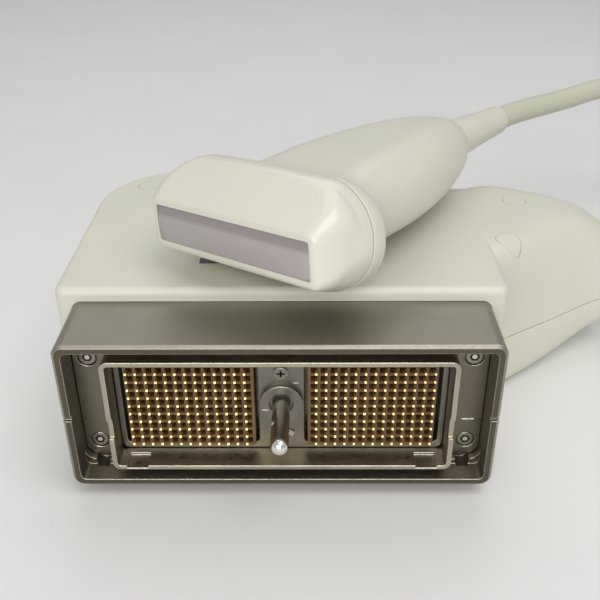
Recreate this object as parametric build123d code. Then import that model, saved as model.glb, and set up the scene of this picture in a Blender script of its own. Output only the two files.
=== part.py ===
from build123d import *
import math
import os

os.makedirs("parts", exist_ok=True)

# The row stands on the level plane z = 0. x runs along the connector's long side, the mating face looks
# towards -y, and the origin lies under the lock shaft, halfway along the housing's depth. Lengths are in mm.

overrun = 1.0
slip = 0.1

# Contact blocks and their contacts
pitch = 2.54
columns = 13
rows = 10
block_border = 0.8
block_depth = 5.8
pocket_size = 1.7
pocket_depth = 3.4
contact_width = 0.55
contact_height = 0.9
contact_tip_depth = 3.55
contact_tip_slope = 0.35
block_width = (columns - 1) * pitch + 2 * block_border + pocket_size
block_height = (rows - 1) * pitch + 2 * block_border + pocket_size

# Contact carrier: cast plate with a pocket for each contact block and a web for the lock shaft
carrier_gap = 0.25
carrier_depth = 8.1
carrier_thickness = 7.5
carrier_floor = 1.6
carrier_corner_radius = 2.0
carrier_side_rim = 1.4
carrier_end_rim = 1.7
carrier_web_half = 6.1
block_inner_gap = 0.91
block_outer_gap = 1.66
block_end_gap = 1.12
carrier_screw_rise = 9.2
carrier_screw_radius = 1.0
carrier_screw_head_radius = 1.9
carrier_screw_head_height = 0.7
carrier_screw_length = 6.0
block_spread = carrier_web_half + block_inner_gap + block_width / 2
carrier_outer_half = block_spread + block_width / 2 + block_outer_gap
carrier_width = 2 * (carrier_outer_half + carrier_side_rim)
carrier_height = block_height + 2 * (block_end_gap + carrier_end_rim)

# Plug shell: rectangular nose on a flange with an ear at each end. Depths are back from the mating plane.
nose_wall = 1.2
nose_corner_radius = 2.2
nose_setback = 0.6
nose_width = carrier_width + 2 * (carrier_gap + nose_wall)
nose_height = carrier_height + 2 * (carrier_gap + nose_wall)
flange_depth = 8.6
flange_thickness = 2.0
flange_overlap = 1.25
flange_height = nose_height + 2 * flange_overlap
flange_side_gap = 0.25
flange_corner_radius = 3.5
keyway_width = 5.7
keyway_length = 5.4
keyway_cut = 0.75
keyway_inset = 6.5
keyway_spread = nose_width / 2 - keyway_inset
side_notch_height = 6.0
side_notch_depth = 1.0
side_notch_drop = 4.0
ear_pad_width = 3.4
ear_pad_height = 0.8
ear_pad_proud = 0.3

# Screws in the flange's ears
ear_screw_reach = 5.0
ear_screw_radius = 1.4
ear_screw_head_radius = 2.2
ear_screw_head_height = 1.2
ear_screw_bore = 2.6
ear_screw_sink = 1.4
ear_screw_spread = nose_width / 2 + ear_screw_reach
ear_screw_rise = flange_height / 2 - ear_screw_reach

# Metal shroud round the plug shell
ear_reach = 9.0
ledge_reach = 3.05
shroud_wall = 2.25
shroud_width = nose_width + 2 * (ear_reach + shroud_wall)
shroud_height = nose_height + 2 * (ledge_reach + shroud_wall)
shroud_reach = 21.8
shroud_corner_radius = 3.0
shroud_rim_chamfer = 0.7
shroud_floor_depth = 6.4
shroud_back_depth = 13.4
shroud_tail = 2.2
shroud_tail_flange = 1.0
rim_notch_height = 1.2
rim_notch_depth = 1.0
relief_radius = 2.0
relief_lift = 1.0
relief_reach = 4.3
relief_spread = nose_width / 2 + relief_reach

# Connector housing: two moulded shells that part on a level plane, with a side neck for the cable
housing_side_margin = 4.45
housing_top_margin = 3.75
housing_floor_margin = 3.95
housing_width = shroud_width + 2 * housing_side_margin
housing_depth = 86.0
shaft_height = housing_floor_margin + shroud_height / 2
housing_height = shaft_height + shroud_height / 2 + housing_top_margin
housing_wall = 2.6
front_wall = 3.0
parting_height = 21.0
parting_gap = 0.3
back_corner_radius = 27.0
side_corner_radius = 3.0
edge_radius = 2.0
shoulder_run = 51.0
shoulder_depth = 19.4
mating_y = -housing_depth / 2 - shroud_reach
front_y = -housing_depth / 2
back_y = housing_depth / 2
side_x = housing_width / 2

# Side neck: a soft-cornered outline at each station, from the housing's side to the cable's exit
neck_length = 51.0
neck_overlap = 38.0
neck_sink = 0.2
neck_root_front = 18.2
neck_root_back = 10.1
neck_end_front = 50.2
neck_end_width = 23.1
neck_end_drop = 16.4
neck_end_rise = 7.9
neck_outline_count = 28
# station along the neck, front and back taper, drop of the top, rise of the bottom, squareness of the corners
neck_shares = [
    (0.0, 0.0, 0.0, 0.0, 0.0, 8.0),
    (0.29, 0.375, -0.5, 0.0, 0.0, 6.0),
    (0.57, 0.67, -0.27, 0.105, 0.11, 3.4),
    (0.78, 0.9, 0.23, 0.39, 0.6, 3.0),
    (1.0, 1.0, 1.0, 1.0, 1.0, 2.3),
]

# Shell screws, set from the top and hidden under round caps
shell_screw_radius = 1.5
shell_screw_head_radius = 2.8
shell_screw_head_height = 2.0
shell_screw_bite = 12.0
cap_radius = 3.75
cap_seat_depth = 7.0
cap_groove = 0.12
boss_radius = 5.2
boss_shelf_height = 30.0
corner_screw_inset = 14.5
neck_screw_reach = 13.4
neck_screw_back = 27.3
front_screw_reach = 5.5
front_screw_back = 29.5
middle_screw_x = 22.0
middle_screw_back = 13.0
shell_screw_places = [
    (corner_screw_inset - side_x, back_y - corner_screw_inset),
    (side_x + neck_screw_reach, back_y - neck_screw_back),
    (side_x + front_screw_reach, front_y + front_screw_back),
    (middle_screw_x, back_y - middle_screw_back),
]

# Lock shaft and what turns with it
shaft_radius = 2.325
shaft_reach = 12.5
shaft_clearance = 0.05
pin_radius = 0.9
pin_depth = -3.0
pin_angle = -30.0
pin_proud = 1.4
pin_recess = 0.35
bush_radius = 5.7
bush_depth = 6.5
bush_stem_radius = 4.0
bush_mouth_radius = 3.3
bush_mouth_depth = 1.2
rear_bush_radius = 6.4
rear_bush_rim = 1.6
rear_bush_stem_radius = 4.4
rear_bush_tail = 3.0
clip_radius = 4.0
clip_thickness = 0.8
clip_groove = 0.4
clip_play = 0.2
knob_radius = 17.0
knob_thickness = 5.0
knob_gap = 0.5
knob_bar_width = 8.0
knob_bar_height = 9.0
knob_edge_radius = 1.5
knob_bore_depth = 8.0
knob_hub_radius = 6.0
knob_screw_radius = 1.25
knob_screw_head_radius = 2.4
knob_screw_head_height = 1.6
knob_screw_length = 10.0

# Circuit board behind the contact blocks
board_side_margin = 6.55
board_end_margin = 0.65
board_width = shroud_width - 2 * board_side_margin
board_height = nose_height + 2 * board_end_margin
board_thickness = 1.6
board_shaft_hole = 4.5
spacer_radius = 2.5
spacer_length = 3.0
spacer_side_inset = 5.85
spacer_end_inset = 3.9
spacer_spread = carrier_width / 2 - spacer_side_inset
spacer_rise = carrier_height / 2 - spacer_end_inset

# Cable, its boots and its clamp
cable_radius = 4.0
connector_boot_root = 7.6
connector_boot_tip = 5.2
connector_boot_length = 36.0
boot_tip_edge = 0.8
boot_flange = 0.9
boot_flange_thickness = 2.2
clamp_length = 10.0
clamp_width = 20.0
clamp_screw_radius = 1.2
clamp_screw_head = 2.2
clamp_screw_rise = 1.4
clamp_screw_spread = 7.4
jacket_past_clamp = 6.0

# Handpiece in its own axes: x across, y back from the lens, z through its thickness
hand_x = -12.5
hand_y = -50.8
hand_yaw = 39.6
hand_tilt = -1.7
hand_roll = 5.3
hand_seat_gap = 0.1
face_width = 54.0
face_height = 12.9
face_corner_radius = 1.6
rim_edge_radius = 0.9
ridge_depth = 13.0
ridge_width = 62.8
ridge_height = 29.6
ridge_lift = 0.8
ridge_corner_radius = 13.0
nose_length = 16.7
seam_width = 64.2
seam_height = 29.4
seam_corner_radius = 12.0
seam_groove = 0.2
hand_wall = 2.2
window_width = 51.0
window_height = 9.4
window_corner_radius = 0.7
lens_thickness = 2.4
lens_crown_radius = 34.0
handle_length = 107.0
# station along the handle, width, height, corner radius, drop below the handpiece's axis
handle_length_shares = [0.0, 0.037, 0.07, 0.103, 0.147, 0.214, 0.313, 0.446, 0.579, 0.712, 0.823, 0.911, 0.967, 1.0]
handle_width_shares = [1.0, 1.003, 0.955, 0.86, 0.775, 0.73, 0.715, 0.68, 0.617, 0.528, 0.432, 0.33, 0.258, 0.217]
handle_height_shares = [1.0, 1.005, 0.965, 0.91, 0.86, 0.82, 0.8, 0.8, 0.802, 0.786, 0.725, 0.625, 0.535, 0.47]
handle_corner_shares = [0.816, 0.82, 0.83, 0.85, 0.87, 0.89, 0.9, 0.9, 0.9, 0.9, 0.9, 0.9, 0.9, 0.9]
handle_drop_shares = [0.0, 0.028, 0.026, 0.014, 0.0, 0.0, 0.0, 0.0, 0.0, 0.0, 0.0, 0.0, 0.0, 0.0]

# Inside the handpiece
stack_width = 50.0
stack_height = 8.4
matching_thickness = 0.8
array_thickness = 1.2
backing_thickness = 9.0
flex_thickness = 0.4
flex_width = 22.0
flex_length = 40.0
ferrule_radius = 5.4
ferrule_length = 12.0
hand_boot_root = 6.3
hand_boot_tip = 4.9
hand_boot_length = 30.0
hand_boot_waist = 0.4

# Coil of the cable's spare length: two layers, wound inwards on top and outwards below
coil_run = 62.0
coil_rise = 69.25
coil_centre_x = side_x + neck_length + connector_boot_length + coil_run
coil_centre_y = front_y + neck_end_front + neck_end_width / 2 + coil_rise
coil_outer_radius = 61.0
coil_inner_radius = 31.0
coil_layers = 2

# Cable's route from the handpiece's boot to the coil, after a first run straight out of the boot.
# Points are measured from the coil's centre, and their heights from the ground.
lead_exit = 12.0
lead_points = [
    (-111.6, -9.0, 65.3),
    (-99.6, 1.5, 64.5),
    (-86.6, 12.5, 63.5),
    (-73.6, 23.2, 60.0),
    (-61.2, 33.0, 53.0),
    (-49.2, 41.8, 43.5),
    (-36.4, 49.6, 33.5),
    (-22.0, 55.6, 25.0),
    (-6.4, 58.2, 19.0),
]

# and from the connector's boot to the coil
tail_exit = 12.0
tail_points = [
    (-36.0, -68.8, 19.0),
    (-21.6, -67.2, 12.6),
    (-6.8, -64.0, 7.0),
    (8.4, -59.2, 4.3),
    (23.0, -52.6, 4.0),
    (36.0, -43.4, 4.0),
]


def mating_plane(depth):
    """Plane parallel to the mating face, x to the right and y up, a given depth behind it."""
    return Plane(origin=(0, mating_y + depth, shaft_height), x_dir=(1, 0, 0), z_dir=(0, -1, 0))


def slab(outline, front, back):
    """Solid of an outline drawn on the mating face, between two depths behind it."""
    return extrude(mating_plane(front) * outline, front - back)


def rod(radius, front, back):
    """Round bar on the lock shaft's axis, between two depths behind the mating plane."""
    return slab(Circle(radius), front, back)


def post(x, y, radius, low, high):
    """Upright round bar."""
    return Pos(x, y, low) * Cylinder(radius, high - low, align=(Align.CENTER, Align.CENTER, Align.MIN))


def block(low, high):
    """Rectangular block between two opposite corners."""
    size = [b - a for a, b in zip(low, high)]
    return Pos(*low) * Box(*size, align=(Align.MIN, Align.MIN, Align.MIN))


def solids_of(shape):
    """The separate solids of a shape as one group."""
    return Compound(children=list(shape.solids()))


def save(shape, node):
    """Write one sub-part to its own file."""
    shape.label = node
    export_step(shape, f"parts/{node}.step")


def plan_outline(inset):
    """The main housing's outline seen from above: square front, round back corner, shouldered back."""
    half = side_x - inset
    front = front_y + inset
    back = back_y - inset
    corner = back_corner_radius - inset
    side_back = back - shoulder_depth
    angle = 2 * math.atan(shoulder_depth / shoulder_run)
    bend = shoulder_run / 2 / math.sin(angle)
    start = half - shoulder_run
    turn = math.radians(45)
    edges = [
        Line((-half, front), (half, front)),
        Line((half, front), (half, side_back)),
        ThreePointArc(
            (half, side_back),
            (half - bend * math.sin(angle / 2), side_back + bend * (1 - math.cos(angle / 2))),
            (half - shoulder_run / 2, side_back + shoulder_depth / 2),
        ),
        ThreePointArc(
            (half - shoulder_run / 2, side_back + shoulder_depth / 2),
            (start + bend * math.sin(angle / 2), back - bend * (1 - math.cos(angle / 2))),
            (start, back),
        ),
        Line((start, back), (corner - half, back)),
        ThreePointArc(
            (corner - half, back),
            (corner - half - corner * math.sin(turn), back - corner + corner * math.cos(turn)),
            (-half, back - corner),
        ),
        Line((-half, back - corner), (-half, front)),
    ]
    return make_face(edges)


def neck_station(shares, inset):
    """One closed soft-cornered outline across the neck."""
    along, front_share, back_share, drop_share, rise_share, square_share = shares
    x = side_x + along * neck_length
    front = front_y + neck_root_front + front_share * (neck_end_front - neck_root_front) + inset
    root_back = back_y - neck_root_back
    end_back = front_y + neck_end_front + neck_end_width
    back = root_back + back_share * (end_back - root_back) - inset
    top = housing_height - neck_sink - drop_share * neck_end_drop - inset
    bottom = neck_sink + rise_share * neck_end_rise + inset
    return soft_outline(x, front, back, bottom, top, square_share)


def soft_outline(x, front, back, bottom, top, square):
    """Face at one x whose outline is widest at the parting plane, with corners as square as asked."""
    middle = (front + back) / 2
    half = (back - front) / 2
    points = []
    for step in range(neck_outline_count):
        angle = 2 * math.pi * step / neck_outline_count
        across, up = math.cos(angle), math.sin(angle)
        y = middle + half * math.copysign(abs(across) ** (2 / square), across)
        reach = top - parting_height if up >= 0 else parting_height - bottom
        z = parting_height + reach * math.copysign(abs(up) ** (2 / square), up)
        points.append((x, y, z))
    return Face(Wire([Spline(*points, periodic=True)]))


def neck_body(inset):
    """The neck as one solid: a straight root that runs into the housing, and the tapered part."""
    stations = [neck_station(shares, inset) for shares in neck_shares]
    taper = loft(stations)
    root = extrude(stations[0], neck_overlap, dir=(-1, 0, 0))
    return root + taper


def housing_body():
    """The housing's outer form before it is hollowed."""
    body = extrude(plan_outline(0), housing_height)
    uprights = [e for e in body.edges().filter_by(Axis.Z) if e.center().Y < front_y + overrun]
    body = fillet(uprights, side_corner_radius)
    rims = body.faces().sort_by(Axis.Z)[0].edges() + body.faces().sort_by(Axis.Z)[-1].edges()
    return fillet(rims, edge_radius) + neck_body(0)


def housing_hollow():
    """The space inside the shells, with room for the cable's boot at the neck's end."""
    main = Pos(0, 0, housing_wall) * extrude(plan_outline(housing_wall), housing_height - 2 * housing_wall)
    main -= block((-side_x, front_y, 0), (side_x, front_y + front_wall, housing_height))
    neck = neck_body(housing_wall)
    end = side_x + neck_length - housing_wall
    neck -= block((end, front_y, 0), (end + neck_length, back_y, housing_height))
    return main + neck


def gland_axis():
    """Height and y of the cable's exit, at the middle of the neck's end."""
    y = front_y + neck_end_front + neck_end_width / 2
    z = (housing_height - neck_end_drop + neck_end_rise) / 2
    return y, z


def bar_along_x(radius, low, high):
    """Round bar on the cable exit's axis."""
    y, z = gland_axis()
    plane = Plane(origin=(low, y, z), x_dir=(0, 1, 0), z_dir=(1, 0, 0))
    return extrude(plane * Circle(radius), high - low)


def shell_screw_bore(x, y):
    """Stepped hole for one shell screw: its cap, its head and its shank."""
    ledge = housing_height - cap_seat_depth
    tip = parting_height - shell_screw_bite
    bore = post(x, y, cap_radius + cap_groove, ledge, housing_height + overrun)
    bore += post(x, y, shell_screw_head_radius + slip, boss_shelf_height, ledge)
    return bore + post(x, y, shell_screw_radius, tip, boss_shelf_height)


def make_housing():
    """Both shells, their screws and their caps."""
    outer = housing_body()
    hollow = housing_hollow()
    for x, y in shell_screw_places:
        hollow -= post(x, y, boss_radius, 0, housing_height)
    shell = outer - hollow
    opening_width = shroud_width + 2 * slip
    opening_height = shroud_height + 2 * slip
    opening = RectangleRounded(opening_width, opening_height, shroud_corner_radius + slip)
    shell -= slab(opening, shroud_reach - overrun, shroud_reach + front_wall + overrun)
    shell -= rod(rear_bush_stem_radius, shroud_reach + front_wall, shroud_reach + housing_depth + overrun)
    end = side_x + neck_length
    shell -= bar_along_x(connector_boot_root + slip, end - housing_wall - overrun, end + overrun)
    caps = []
    screws = []
    ledge = housing_height - cap_seat_depth
    head_top = boss_shelf_height + shell_screw_head_height
    for x, y in shell_screw_places:
        shell -= shell_screw_bore(x, y)
        caps.append(post(x, y, cap_radius, ledge, housing_height + overrun) & outer)
        head = post(x, y, shell_screw_head_radius, boss_shelf_height, head_top)
        shank = post(x, y, shell_screw_radius, parting_height - shell_screw_bite, boss_shelf_height)
        screws.append(head + shank)
    ends = (-side_x - overrun, end + overrun)
    sides = (front_y - overrun, back_y + overrun)
    upper_floor = parting_height + parting_gap / 2
    lower_ceiling = parting_height - parting_gap / 2
    upper_room = block((ends[0], sides[0], upper_floor), (ends[1], sides[1], housing_height + overrun))
    lower_room = block((ends[0], sides[0], -overrun), (ends[1], sides[1], lower_ceiling))
    save(solids_of(shell & upper_room), "housing_upper")
    save(solids_of(shell & lower_room), "housing_lower")
    save(Compound(children=caps), "screw_caps")
    save(Compound(children=screws), "housing_screws")


def make_shroud():
    """Open metal frame with a recessed wall for the plug shell and a flange that the housing traps."""
    inner_width = shroud_width - 2 * shroud_wall
    inner_height = shroud_height - 2 * shroud_wall
    tail_depth = shroud_reach + front_wall
    body = slab(RectangleRounded(shroud_width, shroud_height, shroud_corner_radius), 0, tail_depth)
    body = chamfer(body.faces().sort_by(Axis.Y)[0].outer_wire().edges(), shroud_rim_chamfer)
    grip = 2 * shroud_tail_flange
    body += slab(Rectangle(shroud_width + grip, shroud_height + grip), tail_depth, tail_depth + shroud_tail)
    inner = RectangleRounded(inner_width, inner_height, shroud_corner_radius / 2)
    body -= slab(inner, -overrun, shroud_floor_depth)
    body -= slab(inner, shroud_back_depth, tail_depth + shroud_tail + overrun)
    seat = flange_depth + flange_thickness
    pocket_height = flange_height + 2 * flange_side_gap
    body -= slab(RectangleRounded(inner_width, pocket_height, flange_corner_radius), shroud_floor_depth, seat)
    window = carrier_outline(carrier_gap)
    body -= slab(window, shroud_floor_depth, shroud_back_depth)
    notch = Rectangle(shroud_width + overrun, rim_notch_height) - Rectangle(inner_width - overrun, shroud_height)
    body -= slab(notch, -overrun, rim_notch_depth)
    relief_rise = relief_lift - inner_height / 2
    for side in (-1, 1):
        relief = Pos(side * relief_spread, relief_rise) * Circle(relief_radius)
        body -= slab(relief, shroud_floor_depth - overrun, seat)
        for rise in (-ear_screw_rise, ear_screw_rise):
            thread = Pos(side * ear_screw_spread, rise) * Circle(ear_screw_radius)
            body -= slab(thread, seat - overrun, shroud_back_depth)
    save(body, "shroud")


def make_plug_shell():
    """Rectangular nose with two keyways in its floor, on a flange whose ears take the screws."""
    inner_width = nose_width - 2 * nose_wall
    inner_height = nose_height - 2 * nose_wall
    seat = flange_depth + flange_thickness
    ear_span = shroud_width - 2 * shroud_wall - 2 * flange_side_gap
    body = slab(RectangleRounded(ear_span, flange_height, flange_corner_radius), flange_depth, seat)
    body += slab(RectangleRounded(nose_width, nose_height, nose_corner_radius), nose_setback, seat)
    bore = RectangleRounded(inner_width, inner_height, nose_corner_radius - nose_wall)
    body -= slab(bore, -overrun, seat + overrun)
    floor = -inner_height / 2
    for side in (-1, 1):
        key = Pos(side * keyway_spread, floor) * Rectangle(keyway_width, 2 * keyway_cut)
        body -= slab(key, -overrun, nose_setback + keyway_length)
        gap = Pos(side * nose_width / 2, -side_notch_drop) * Rectangle(nose_wall * 3, side_notch_height)
        body -= slab(gap, -overrun, nose_setback + side_notch_depth)
        for rise in (-ear_screw_rise, ear_screw_rise):
            place = Pos(side * ear_screw_spread, rise)
            body -= slab(place * Circle(ear_screw_radius), flange_depth - overrun, seat + overrun)
            body -= slab(place * Circle(ear_screw_bore), flange_depth - overrun, flange_depth + ear_screw_sink)
    pad = Pos(ear_screw_spread, -ear_screw_rise / 2) * Rectangle(ear_pad_width, ear_pad_height)
    body += slab(pad, flange_depth - ear_pad_proud, flange_depth)
    save(body, "plug_shell")
    screws = []
    head_back = flange_depth + ear_screw_sink
    for side in (-1, 1):
        for rise in (-ear_screw_rise, ear_screw_rise):
            place = Pos(side * ear_screw_spread, rise)
            head = slab(place * Circle(ear_screw_head_radius), head_back - ear_screw_head_height, head_back)
            shank = slab(place * Circle(ear_screw_radius), head_back, shroud_back_depth)
            screws.append(head + shank)
    save(Compound(children=screws), "flange_screws")


def carrier_outline(grow):
    """Outline of the contact carrier, which fits inside the nose, grown by a clearance."""
    return RectangleRounded(carrier_width + 2 * grow, carrier_height + 2 * grow, carrier_corner_radius)


def make_carrier():
    """Cast plate with two pockets for the contact blocks and a web between them for the lock shaft."""
    back = carrier_depth + carrier_thickness
    floor = back - carrier_floor
    body = slab(carrier_outline(0), carrier_depth, back)
    for side in (-1, 1):
        middle = side * (carrier_outer_half + carrier_web_half) / 2
        pocket_width = carrier_outer_half - carrier_web_half
        pocket_height = carrier_height - 2 * carrier_end_rim
        pocket = Pos(middle, 0) * RectangleRounded(pocket_width, pocket_height, carrier_side_rim)
        body -= slab(pocket, carrier_depth - overrun, floor)
    body -= rod(bush_stem_radius, carrier_depth - overrun, back + overrun)
    screws = []
    for rise in (-carrier_screw_rise, carrier_screw_rise):
        place = Pos(0, rise)
        body -= slab(place * Circle(carrier_screw_radius), carrier_depth - overrun, back)
        head = slab(place * Circle(carrier_screw_head_radius),
                    carrier_depth - carrier_screw_head_height, carrier_depth)
        shank = slab(place * Circle(carrier_screw_radius), carrier_depth, carrier_depth + carrier_screw_length)
        screws.append(head + shank)
    save(body, "contact_carrier")
    save(Compound(children=screws), "carrier_screws")


def cell_places():
    """Centres of the pockets of one contact block, from the block's centre."""
    return [
        ((column - (columns - 1) / 2) * pitch, (row - (rows - 1) / 2) * pitch)
        for column in range(columns)
        for row in range(rows)
    ]


def make_contacts():
    """The two contact blocks and the contacts that stand in their pockets."""
    floor = carrier_depth + carrier_thickness - carrier_floor
    pocket_floor = block_depth + pocket_depth
    lean = (pocket_size - contact_width) / 2
    for name, side in (("left", -1), ("right", 1)):
        outline = Pos(side * block_spread, 0) * Rectangle(block_width, block_height)
        places = [(side * block_spread + x, z) for x, z in cell_places()]
        cells = [Pos(x, z) * Rectangle(pocket_size, pocket_size) for x, z in places]
        front = slab(outline - cells, block_depth, pocket_floor)
        body = front + slab(outline, pocket_floor, floor)
        save(body, f"insulator_{name}")
        blades = []
        for x, z in places:
            centre = x + side * lean
            low = mating_y + contact_tip_depth
            root = mating_y + pocket_floor
            base = shaft_height + z
            top = base + contact_height / 2
            side_view = Polyline(
                (centre, low + contact_tip_slope, top),
                (centre, low, base),
                (centre, low + contact_tip_slope, base - contact_height / 2),
                (centre, root, base - contact_height / 2),
                (centre, root, top),
                close=True,
            )
            face = make_face(side_view)
            blades.append(extrude(face, contact_width / 2, dir=(1, 0, 0), both=True))
        save(Compound(children=blades), f"contacts_{name}")


def turned_direction():
    """Direction of the cross pin's free end in the mating plane."""
    angle = math.radians(pin_angle)
    return math.cos(angle), math.sin(angle)


def pin_bar(radius, start, end):
    """Round bar along the cross pin's line, between two distances from the shaft's axis."""
    x, z = turned_direction()
    y = mating_y + pin_depth
    plane = Plane(origin=(x * start, y, shaft_height + z * start), x_dir=(0, 1, 0), z_dir=(x, 0, z))
    return extrude(plane * Circle(radius), end - start)


def make_lock():
    """The shaft with its cross pin, clip and knob, and the two bushes that carry it."""
    tip = -shaft_reach + shaft_radius
    wall_out = shroud_reach + housing_depth
    wall_in = wall_out - housing_wall
    knob_front = wall_out + rear_bush_rim + knob_gap
    shaft_end = knob_front + knob_bore_depth
    shaft = rod(shaft_radius, tip, shaft_end)
    shaft += mating_plane(tip) * Sphere(shaft_radius)
    shaft -= pin_bar(pin_radius, pin_recess - 2 * shaft_radius, shaft_radius + overrun)
    shaft -= rod(knob_screw_radius, shaft_end - knob_screw_length + knob_hub_radius, shaft_end)
    clip_back = wall_in - rear_bush_tail - clip_play
    clip_front = clip_back - clip_thickness
    groove = rod(shaft_radius + overrun, clip_front, clip_back)
    shaft -= groove - rod(shaft_radius - clip_groove, clip_front, clip_back)
    save(shaft, "lock_shaft")
    save(pin_bar(pin_radius, pin_recess - shaft_radius, shaft_radius + pin_proud), "cross_pin")
    clip = rod(clip_radius, clip_front, clip_back) - rod(shaft_radius - clip_groove, clip_front, clip_back)
    save(clip, "shaft_clip")
    bore = shaft_radius + shaft_clearance
    carrier_back = carrier_depth + carrier_thickness
    bush = rod(bush_radius, bush_depth, carrier_depth) + rod(bush_stem_radius, carrier_depth, carrier_back)
    bush -= rod(bore, bush_depth - overrun, carrier_back + overrun)
    bush -= rod(bush_mouth_radius, bush_depth - overrun, bush_depth + bush_mouth_depth)
    save(bush, "shaft_bush")
    rear = rod(rear_bush_radius, wall_out, wall_out + rear_bush_rim)
    rear += rod(rear_bush_stem_radius, wall_in - rear_bush_tail, wall_out)
    rear -= rod(bore, wall_in - rear_bush_tail - overrun, wall_out + rear_bush_rim + overrun)
    save(rear, "rear_bush")
    disc_back = knob_front + knob_thickness
    bar_back = disc_back + knob_bar_height
    knob = rod(knob_radius, knob_front, disc_back)
    knob = fillet(knob.edges().filter_by(GeomType.CIRCLE), knob_edge_radius)
    bar_outline = RectangleRounded(knob_bar_width, 2 * knob_radius, knob_bar_width / 2 - slip)
    bar = slab(bar_outline, disc_back - overrun, bar_back) & rod(knob_radius, disc_back - overrun, bar_back)
    bar = fillet(bar.faces().sort_by(Axis.Y)[-1].edges(), knob_edge_radius)
    knob += bar
    knob -= rod(shaft_radius, knob_front - overrun, shaft_end)
    screw_seat = bar_back - knob_screw_head_height
    knob -= rod(knob_screw_head_radius, screw_seat, bar_back + overrun)
    knob -= rod(knob_screw_radius, shaft_end - overrun, screw_seat + overrun)
    save(knob, "lock_knob")
    screw = rod(knob_screw_head_radius, screw_seat, bar_back)
    screw += rod(knob_screw_radius, shaft_end - knob_screw_length + knob_hub_radius, screw_seat)
    save(screw, "knob_screw")


def make_board():
    """Circuit board behind the contact blocks, on four spacers."""
    front = carrier_depth + carrier_thickness + spacer_length
    board = slab(Rectangle(board_width, board_height), front, front + board_thickness)
    board -= rod(board_shaft_hole, front - overrun, front + board_thickness + overrun)
    save(board, "interface_board")
    spacers = [
        slab(Pos(x, z) * Circle(spacer_radius), front - spacer_length, front)
        for x in (-spacer_spread, spacer_spread)
        for z in (-spacer_rise, spacer_rise)
    ]
    save(Compound(children=spacers), "board_spacers")


def make_connector_cable():
    """Boot, jacket end and clamp where the cable enters the neck."""
    end = side_x + neck_length
    y, z = gland_axis()
    inside = end - housing_wall
    plane = Plane(origin=(end, y, z), x_dir=(0, 1, 0), z_dir=(1, 0, 0))
    tip_plane = plane.offset(connector_boot_length)
    boot = loft([plane * Circle(connector_boot_root), tip_plane * Circle(connector_boot_tip)])
    boot = fillet(boot.faces().sort_by(Axis.X)[-1].edges(), boot_tip_edge)
    boot += bar_along_x(connector_boot_root, inside, end)
    boot += bar_along_x(connector_boot_root + boot_flange, inside - boot_flange_thickness, inside)
    mouth = end + connector_boot_length
    start = inside - boot_flange_thickness
    boot -= bar_along_x(cable_radius, start - overrun, mouth + overrun)
    save(boot, "connector_boot")
    jacket_start = start - clamp_length - jacket_past_clamp
    save(bar_along_x(cable_radius, jacket_start, mouth), "connector_jacket_end")
    clamp_end = start
    clamp_start = clamp_end - clamp_length
    post_top = z
    base = block((clamp_start, y - clamp_width / 2, housing_wall), (clamp_end, y + clamp_width / 2, post_top))
    bridge = block((clamp_start, y - clamp_width / 2, post_top),
                   (clamp_end, y + clamp_width / 2, z + cable_radius + housing_wall))
    hole = bar_along_x(cable_radius, clamp_start - overrun, clamp_end + overrun)
    room = neck_body(housing_wall)
    middle = (clamp_start + clamp_end) / 2
    screws = []
    base = (base - hole) & room
    bridge = (bridge - hole) & room
    for side in (-1, 1):
        bore = post(middle, y + side * clamp_screw_spread, clamp_screw_radius, z / 2, housing_height)
        base -= bore
        bridge -= bore
        top = z + cable_radius + housing_wall
        shank = post(middle, y + side * clamp_screw_spread, clamp_screw_radius, z / 2, top)
        head = post(middle, y + side * clamp_screw_spread, clamp_screw_head, top, top + clamp_screw_rise)
        screws.append(shank + head)
    save(base, "clamp_base")
    save(bridge, "clamp_bridge")
    save(Compound(children=screws), "clamp_screws")


def hand_outline(width, height, radius, depth, lift=0):
    """Rounded outline across the handpiece, a given depth behind its lens."""
    plane = Plane(origin=(0, depth, lift), x_dir=(1, 0, 0), z_dir=(0, -1, 0))
    return plane * RectangleRounded(width, height, radius)


def handle_sections(inset):
    """Outlines of the handle from its seam with the nosepiece to the boot, drawn in by a wall."""
    sections = []
    run = handle_length - nose_length
    shapes = zip(handle_width_shares, handle_height_shares, handle_corner_shares, handle_drop_shares)
    for along, (wide, high, corner, drop) in zip(handle_length_shares, shapes):
        width = wide * seam_width - 2 * inset
        height = high * seam_height - 2 * inset
        radius = corner * min(width, height) / 2
        lift = -drop * seam_height
        sections.append(hand_outline(width, height, radius, nose_length + along * run, lift))
    return sections


def nose_outline(width, height, radius, inset, depth, lift=0):
    """One outline of the nosepiece, drawn in by a wall."""
    return hand_outline(width - 2 * inset, height - 2 * inset, max(radius - inset, slip), depth, lift)


def nose_body(inset, front):
    """The nosepiece's form: a tapered front up to a ridge, then a band up to the seam and its fine groove."""
    face = nose_outline(face_width, face_height, face_corner_radius, inset, front)
    ridge = nose_outline(ridge_width, ridge_height, ridge_corner_radius, inset, ridge_depth, ridge_lift)
    seam = nose_outline(seam_width, seam_height, seam_corner_radius, inset, nose_length - seam_groove)
    groove = nose_outline(seam_width, seam_height, seam_corner_radius, inset + seam_groove, nose_length)
    return loft([face, ridge], ruled=True) + loft([ridge, seam], ruled=True) + loft([seam, groove], ruled=True)


def hand_rod(radius, start, end):
    """Round bar on the handpiece's own axis."""
    plane = Plane(origin=(0, start, 0), x_dir=(1, 0, 0), z_dir=(0, -1, 0))
    return extrude(plane * Circle(radius), start - end)


def hand_slab(width, height, start, end):
    """Rectangular bar along the handpiece's own axis."""
    plane = Plane(origin=(0, start, 0), x_dir=(1, 0, 0), z_dir=(0, -1, 0))
    return extrude(plane * Rectangle(width, height), start - end)


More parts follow.
